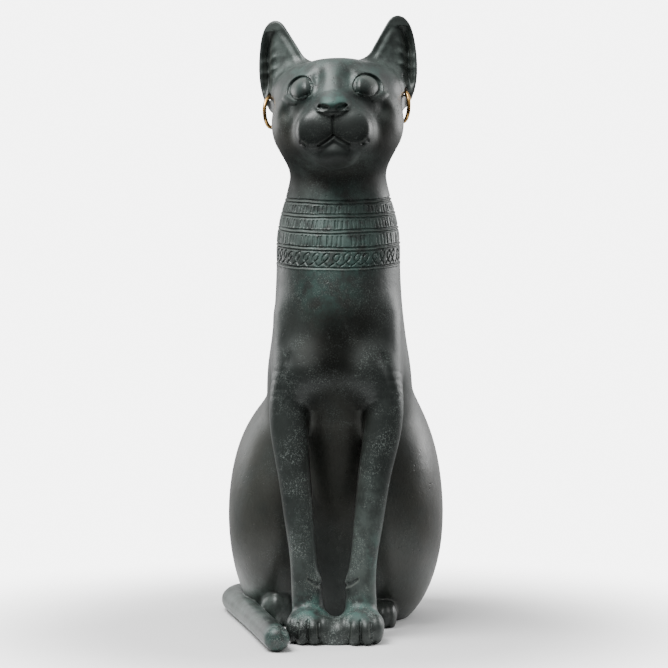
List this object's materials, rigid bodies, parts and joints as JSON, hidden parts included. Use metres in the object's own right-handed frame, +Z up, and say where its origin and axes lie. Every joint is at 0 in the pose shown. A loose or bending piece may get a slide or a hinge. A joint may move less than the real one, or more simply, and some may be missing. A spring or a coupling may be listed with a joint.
{
  "type": "bastet cat figure",
  "caption": "Slender seated cat figure in dark patinated bronze with upright pierced ears, gold ear rings, an engraved bead collar and the tail laid along its right side.",
  "frame": {"origin": "on the ground, below the middle of the whole figure's box, tail included", "axes": "+Z up from the feet to the ears, the cat faces -Y, its own left side is +X and its tail lies on -X"},
  "size_m": [0.1084, 0.1552, 0.2824],
  "materials": {
    "bronze": "dark green-black patina, satin, with pale dust and a little blue-green verdigris in the carving",
    "gold": "polished gold"
  },
  "bodies": {
    "root": {"cat": "bronze", "earring_left": "gold", "earring_right": "gold"}
  },
  "joints": []
}
